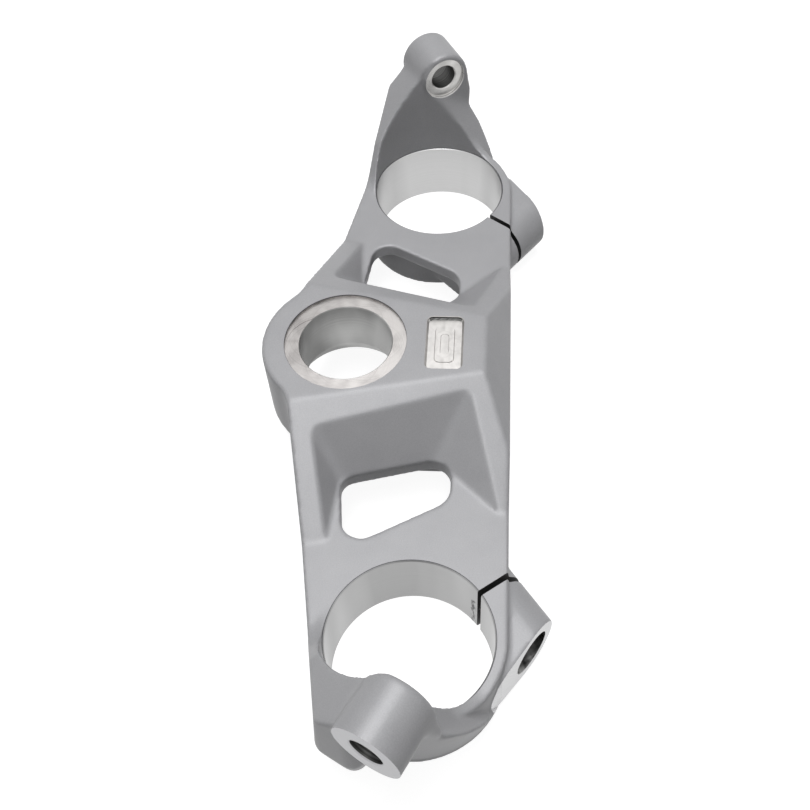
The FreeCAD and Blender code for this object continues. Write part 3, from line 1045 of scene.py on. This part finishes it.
@dataclass
class BoltThread:
    """Thread of the blind hole that the pinch bolt screws into: a ridge wound along the wall."""

    metal: Material
    pitch: float = 1.25
    crest: float = 3.4
    root: float = 4.05
    first: float = 1.6
    last: float = 14.4

    def tree(self) -> NodeTree:
        """Sweep a ridge along a spiral.

        Returns:
            Geometry nodes whose inputs are the spiral's sizes, in metres.
        """
        tree = bpy.data.node_groups.new("wound_ridge", "GeometryNodeTree")
        face = tree.interface
        for label, kind in (("Turns", "NodeSocketFloat"), ("Radius", "NodeSocketFloat"),
                            ("Length", "NodeSocketFloat"), ("Ridge", "NodeSocketFloat"),
                            ("Metal", "NodeSocketMaterial")):
            face.new_socket(label, in_out="INPUT", socket_type=kind)
        face.new_socket("Geometry", in_out="OUTPUT", socket_type="NodeSocketGeometry")
        given = add(tree, "NodeGroupInput").outputs
        path = add(tree, "GeometryNodeCurveSpiral", {
            "Resolution": 48, "Rotations": given["Turns"], "Start Radius": given["Radius"],
            "End Radius": given["Radius"], "Height": given["Length"]})
        ridge = add(tree, "GeometryNodeCurvePrimitiveCircle", {"Resolution": 6, "Radius": given["Ridge"]})
        wound = add(tree, "GeometryNodeCurveToMesh", {
            "Curve": path.outputs[0], "Profile Curve": ridge.outputs[0], "Fill Caps": True})
        real = add(tree, "GeometryNodeRealizeInstances", {"Geometry": wound.outputs[0]})
        dressed = add(tree, "GeometryNodeSetMaterial",
                      {"Geometry": real.outputs[0], "Material": given["Metal"]})
        add(tree, "NodeGroupOutput", {"Geometry": dressed.outputs[0]})
        return tree

    def ridge(self) -> Mesh:
        """Wind one ridge.

        Returns:
            Its mesh, in metres, along Z from the origin.
        """
        half = (self.root - self.crest) / 2
        sizes = {"Turns": (self.last - self.first) / self.pitch, "Radius": (self.crest + half) * MM,
                 "Length": (self.last - self.first) * MM, "Ridge": half * MM, "Metal": self.metal}
        work = new_object("thread_work", bpy.data.meshes.new("thread_work"))
        wind = work.modifiers.new("wind", "NODES")
        wind.node_group = self.tree()
        for item in wind.node_group.interface.items_tree:
            if item.in_out == "INPUT":
                wind[item.identifier] = sizes[item.name]
        return applied(work, "thread_ridge")

    def build(self) -> Object:
        """Wind the ridge in both lugs.

        Returns:
            One object with both threads.
        """
        ridge, lug = self.ridge(), PinchLug()
        bm = bmesh.new()
        for side in (1, -1):
            start, way = lug.axis_start(), -level(lug.turn)
            start.x, way.x = start.x * side, way.x * side
            copy = ridge.copy()
            copy.transform(placed(start + way * (self.first * MM), way) @ Matrix.Scale(1 / MM, 4))
            bm.from_mesh(copy)
            bpy.data.meshes.remove(copy)
        mesh = bpy.data.meshes.new("pinch_threads")
        bmesh.ops.recalc_face_normals(bm, faces=bm.faces)
        bm.to_mesh(mesh)
        bm.free()
        mesh.materials.append(self.metal)
        mesh.shade_smooth()
        return new_object("pinch_threads", mesh)


# The casting

@dataclass(frozen=True)
class SoftZone:
    """Ball in which a cast blend is wider, on both sides of the clamp; its centre is in metres."""

    centre: Vector
    reach: float
    rounding: float


SOFT_ZONES = (
    SoftZone(Vector((0.1327, 0.0372, 0.021)), reach=13.0, rounding=1.9),  # ear's front, below its boss
    SoftZone(Vector((0.1249, 0.0285, 0.019)), reach=9.0, rounding=1.5),  # ear's inboard side
)


@dataclass
class Casting:
    """The whole clamp: raw casting softened as a mould leaves it, then machined."""

    finishes: Finishes
    weld: float = 0.002
    voxel: float = 0.55
    rounding: float = 0.75
    triangles: int = 150000
    crisp_from: float = 38.0

    def raw(self, stock: list[Tool]) -> Mesh:
        """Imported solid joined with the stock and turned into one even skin.

        Args:
            stock: solids that fill the machined features.

        Returns:
            Mesh of the raw casting, its faces about one voxel wide.
        """
        bm = bmesh.new()
        bm.from_mesh(frame["nodes"]["triple_clamp"].data)
        bmesh.ops.remove_doubles(bm, verts=bm.verts, dist=self.weld * MM)
        for tool in stock:
            bm.from_mesh(tool.mesh)
        mesh = bpy.data.meshes.new("raw")
        bm.to_mesh(mesh)
        bm.free()
        obj = new_object("raw", mesh)
        skin = obj.modifiers.new("skin", "REMESH")
        skin.mode = "VOXEL"
        skin.voxel_size = self.voxel * MM
        return applied(obj, "raw_casting")

    def soften(self, mesh: Mesh, zones: tuple[SoftZone, ...]) -> None:
        """Round the skin's edges, more inside the zones, where the extra fades out from half the reach.

        Args:
            mesh: the raw casting, changed in place.
            zones: where the blends are wider.
        """
        count = len(mesh.vertices)
        points = np.empty(count * 3)
        mesh.vertices.foreach_get("co", points)
        points = points.reshape(-1, 3)
        edges = np.empty(len(mesh.edges) * 2, dtype=np.int64)
        mesh.edges.foreach_get("vertices", edges)
        edges = edges.reshape(-1, 2)
        self.relax(points, edges, np.ones(count), self.rounding)
        for zone in zones:
            for side in (1, -1):
                middle = np.array((zone.centre.x * side, zone.centre.y, zone.centre.z))
                away = np.linalg.norm(points - middle, axis=1) / (zone.reach * MM)
                weight = np.clip(2 * (1 - away), 0, 1)
                near = np.flatnonzero(weight > 0)
                place = np.full(count, -1)
                place[near] = np.arange(len(near))
                inside = edges[(place[edges] >= 0).all(axis=1)]
                part = points[near]
                self.relax(part, place[inside], weight[near], zone.rounding)
                points[near] = part
        mesh.vertices.foreach_set("co", points.ravel())
        mesh.update()

    def relax(self, points: np.ndarray, edges: np.ndarray, weight: np.ndarray, rounding: float) -> None:
        """Move each point half way to its neighbours' mean, over and over.

        Each round blurs the skin by half a voxel, and blurs add up by their squares.

        Args:
            points: places, changed in place.
            edges: pairs of point numbers.
            weight: share of the move for each point.
            rounding: how far the edges are blurred in the end.
        """
        a = np.concatenate((edges[:, 0], edges[:, 1]))
        b = np.concatenate((edges[:, 1], edges[:, 0]))
        ways = np.maximum(np.bincount(a, minlength=len(points)), 1)
        share = 0.5 * weight
        for _ in range(round(rounding ** 2 / (0.25 * self.voxel ** 2))):
            for k in range(3):
                mean = np.bincount(a, weights=points[b, k], minlength=len(points)) / ways
                points[:, k] += share * (mean - points[:, k])

    def machine(self, mesh: Mesh, cuts: list[Tool]) -> Object:
        """Thin the skin out and take the cuts.

        Args:
            mesh: the softened casting.
            cuts: closed solids to take away, in order.

        Returns:
            The finished piece.
        """
        obj = new_object("casting_work", mesh)
        mesh.materials.clear()
        mesh.materials.append(self.finishes.enamel)
        thin = obj.modifiers.new("thin", "DECIMATE")
        thin.ratio = min(1.0, self.triangles / (2 * len(mesh.polygons)))
        cutters = []
        for tool in cuts:
            cutter = new_object(tool.name, tool.mesh)
            cutters.append(cutter)
            cut = obj.modifiers.new(tool.name, "BOOLEAN")
            cut.operation = "DIFFERENCE"
            cut.solver = "MANIFOLD"
            cut.material_mode = "TRANSFER"
            cut.object = cutter
        done = applied(obj, "casting")
        for cutter in cutters:
            bpy.data.objects.remove(cutter)
        done.shade_smooth()
        done.set_sharp_from_angle(angle=math.radians(self.crisp_from))
        return new_object("casting", done)

    def build(self, features: list[Feature], zones: tuple[SoftZone, ...]) -> Object:
        """Make the casting with its machined features.

        Args:
            features: what is machined, in order.
            zones: where the cast blends are wider.

        Returns:
            The finished piece.
        """
        stock, cuts = [], []
        for feature in features:
            for make, total in ((feature.stock, stock), (feature.cuts, cuts)):
                tools = make(self.finishes)
                total.extend(tools)
                if feature.both_sides:
                    total.extend(tool.mirrored() for tool in tools)
        raw = self.raw(stock)
        log.info("raw casting: %d faces", len(raw.polygons))
        self.soften(raw, zones)
        piece = self.machine(raw, cuts)
        log.info("casting: %d faces", len(piece.data.polygons))
        return piece


# The studio

@dataclass(frozen=True)
class Lamp:
    """Soft square lamp that hangs over the clamp and faces it; place and size in metres."""

    name: str
    place: tuple[float, float, float]
    watts: float
    size: float

    def hang(self) -> None:
        """Put the lamp into the scene."""
        data = bpy.data.lights.new(self.name, "AREA")
        data.energy = self.watts
        data.size = self.size
        obj = new_object(self.name, data)
        obj.location = self.place
        obj.rotation_euler = (-Vector(self.place)).to_track_quat("-Z", "Y").to_euler()


LAMPS = (
    Lamp("lamp_top", (-0.25, 0.0, 1.3), watts=7.8, size=0.6),
    Lamp("lamp_near", (0.15, 0.0, 1.3), watts=3.2, size=0.4),
    Lamp("lamp_over", (0.45, 0.0, 1.2), watts=3.3, size=0.4),
    Lamp("lamp_sheen", (-0.5, -0.2, 1.3), watts=1.7, size=0.5),
    Lamp("lamp_front", (0.0, 0.6, 1.15), watts=0.3, size=0.5),
)


@dataclass
class Studio:
    """Pale floor, soft lights and the camera at the photograph's angle, its place in metres."""

    lamps: tuple[Lamp, ...] = LAMPS
    floor_z: float = -23.7
    floor_half: float = 3000.0
    floor_colour: str = "8C8C8C"
    glow: float = 0.925
    ambient: float = 0.03
    camera_at: tuple[float, float, float] = (0.2259268, 0.0466201, 0.2843799)
    camera_turn: tuple[float, float, float, float] = (0.653524, 0.201744, 0.246576, 0.686590)
    focal: float = 46.685
    sensor: float = 36.0

    def camera(self) -> None:
        """Place the camera that the bores' rims in the photograph gave."""
        data = bpy.data.cameras.new("camera")
        data.sensor_width = self.sensor
        data.lens = self.focal
        data.clip_start = 0.01
        obj = new_object("camera", data)
        obj.location = self.camera_at
        obj.rotation_mode = "QUATERNION"
        obj.rotation_quaternion = Quaternion(self.camera_turn)
        bpy.context.scene.camera = obj

    def backdrop_ray(self, tree: NodeTree) -> NodeSocket:
        """Tell the rays that see the backdrop from those that light the clamp.

        Args:
            tree: nodes of the floor or the world.

        Returns:
            One for camera, glossy and transmission rays, nought for the rest.
        """
        path = add(tree, "ShaderNodeLightPath").outputs
        seen = path["Is Camera Ray"]
        for other in ("Is Glossy Ray", "Is Transmission Ray"):
            seen = add(tree, "ShaderNodeMath", {0: seen, 1: path[other]}, operation="MAXIMUM").outputs[0]
        return seen

    def floor(self) -> None:
        """White studio floor: it keeps the soft shadow and is white where nothing shades it."""
        bm = bmesh.new()
        half, z = self.floor_half * MM, self.floor_z * MM
        corners = ((-1, -1), (1, -1), (1, 1), (-1, 1))
        bm.faces.new([bm.verts.new((x * half, y * half, z)) for x, y in corners])
        mesh = bpy.data.meshes.new("floor")
        bm.to_mesh(mesh)
        bm.free()
        mat, paper = new_material("matt_white_paper")
        feed(paper, {"Base Color": linear(self.floor_colour), "Roughness": 0.9, "Specular IOR Level": 0.1})
        tree = mat.node_tree
        strength = add(tree, "ShaderNodeMath", {0: self.backdrop_ray(tree), 1: self.glow},
                       operation="MULTIPLY")
        glow = add(tree, "ShaderNodeEmission", {"Strength": strength.outputs[0]})
        both = add(tree, "ShaderNodeAddShader", {0: paper.outputs[0], 1: glow.outputs[0]})
        feed(tree.nodes["Material Output"], {"Surface": both.outputs[0]})
        mesh.materials.append(mat)
        new_object("floor", mesh)

    def world(self) -> None:
        """White surroundings for the eye and for reflections, and a soft fill for the rest."""
        world = bpy.data.worlds.new("studio")
        bpy.context.scene.world = world
        world.use_nodes = True
        tree = world.node_tree
        strength = add(tree, "ShaderNodeMapRange",
                       {"Value": self.backdrop_ray(tree), "To Min": self.ambient, "To Max": 1.0})
        feed(tree.nodes["Background"], {"Color": (1.0, 1.0, 1.0, 1.0), "Strength": strength.outputs[0]})

    def build(self) -> None:
        """Set up the whole studio."""
        bpy.context.scene.view_settings.view_transform = "Standard"
        self.camera()
        self.floor()
        self.world()
        for lamp in self.lamps:
            lamp.hang()


def make_finishes() -> Finishes:
    """Build every finish, with its marks about the feature that carries it.

    Returns:
        The enamel, the line of painted shade at its cut edge, and the bare metals, several with painted
        light and shade.
    """
    clamp, pinch, hub = ForkClamp(), PinchLug(), StemHub()
    fork, stem = clamp.centre(), Vector()
    badge = Vector((0.0, hub.badge_y * MM, (hub.top - hub.badge_depth) * MM))
    ear, bolt = ({"pos": Vector(m["pos_m"]), "axis": Vector(m["axis"])}
                 for m in (mount("ear_hole_right"), mount("pinch_hole_right")))
    # Fine rings too faint to count, soft lighter and darker bands from top to bottom, and painted light
    # that makes the outer wall lighter than the hub side
    bored = BareAluminium("bored_aluminium", Marks.RINGS, fork, pitch_mm=0.6, depth_mm=0.010,
                          colour="C2C2C2", shade="999999", roughness=0.34, bands=0.8,
                          painted_light_way=(0.008, 0.0, 0.0), scuff_at=clamp.turn + 96.2)
    # Darker than the fork bores as painted shade of the deep bore, duller, clouded, and lighter towards the
    # front as painted light
    shaded_stem_bore = BareAluminium("reamed_aluminium_painted_shade", Marks.RINGS, stem, pitch_mm=0.8, depth_mm=0.010,
                               colour="B4B4B3", shade="6E6E6D", roughness=0.40, bands=0.8,
                               band_mm=11.0, band_stretch=2.0, painted_light_way=(0.0, 0.02, 0.0))
    # Nearly black as painted shade in the narrow slot and on the recess's end walls, and rough
    sawn_painted_shade = BareAluminium("sawn_aluminium", Marks.RINGS, fork, pitch_mm=0.4, colour="565656",
                         shade="2E2E2E", roughness=0.55)
    # Even pale grey with arcs that can only just be seen
    faced = BareAluminium("faced_aluminium", Marks.SWIRL, **ear, path_mm=4.0, mill_mm=6.5,
                          depth_mm=0.008, colour="B7B7B9", shade="A5A5A7", roughness=0.42)
    # Bright ring with crossing arcs and warm grey clouds, and painted light that makes it lighter towards
    # the front and towards both sides
    stem_seat = BareAluminium("spot_milled_aluminium", Marks.SWIRL, stem, pitch_mm=0.9,
                              depth_mm=0.012, colour="B9B6B4", shade="848180", roughness=0.34,
                              bands=0.6, band_mm=6.0, band_stretch=1.0,
                              painted_light_way=(0.004, 0.012, 0.0))
    # Bright narrow ring with small arcs
    ear_seat = BareAluminium("spot_faced_aluminium", Marks.SWIRL, **ear, path_mm=3.0, mill_mm=5.0,
                             depth_mm=0.008, colour="CFCECC", shade="A09F9D", bands=0.6,
                             band_mm=5.0, band_stretch=1.0)
    # Pale and smooth, with wide faint arcs across the whole face
    pinch_face = BareAluminium("face_milled_aluminium", Marks.SWEEP, fork, level(pinch.face_turn),
                               depth_mm=0.01, colour="C3C3C4", shade="AFAFB0")
    # Pale floor with the small cutter's arcs
    pocket_floor = BareAluminium("end_milled_aluminium", Marks.SWIRL, badge, pitch_mm=0.7,
                                 path_mm=3.2, mill_mm=2.6, depth_mm=0.012, colour="C2C0BE",
                                 shade="A19F9D", roughness=0.36, bands=0.4, band_mm=3.0,
                                 band_stretch=1.0)
    # Dark grey as painted shade in holes and hollows, with coarse rings deep enough to show as lines
    drilled_painted_shade = BareAluminium("drilled_aluminium", Marks.RINGS, **ear, pitch_mm=0.9, depth_mm=0.12,
                            colour="8A8A89", shade="4A4A49", roughness=0.42)
    # Bright and dark patches side by side, the dark ones painted shade inside the counterbore
    shaded_head_bore = BareAluminium("counterbored_aluminium_painted_shade", Marks.RINGS, **bolt, pitch_mm=0.9,
                               depth_mm=0.08, colour="B9B9B8", shade="333332", roughness=0.4,
                               bands=0.85, band_mm=2.6, band_stretch=1.6)
    return Finishes(*(finish.material() for finish in (
        SilverPaint(), PaintedShadeEdge(), bored, shaded_stem_bore, sawn_painted_shade, faced, stem_seat, ear_seat, pinch_face,
        pocket_floor, drilled_painted_shade, shaded_head_bore)))


def main() -> None:
    """Build the clamp and the studio, and report each piece."""
    logging.basicConfig(level=logging.INFO, format="%(name)s: %(message)s")
    Studio().build()
    finishes = make_finishes()
    piece = Casting(finishes).build([ForkClamp(), PinchLug(), Ear(), StemHub()], SOFT_ZONES)
    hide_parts("triple_clamp")
    # The thread's dark grey is painted shade.
    threads = BoltThread(finishes.drilled_painted_shade).build()
    for obj in (piece, threads):
        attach(obj, "root")
        log.info("piece %s: %d faces", obj.name, len(obj.data.polygons))


if __name__ == "__main__":
    main()
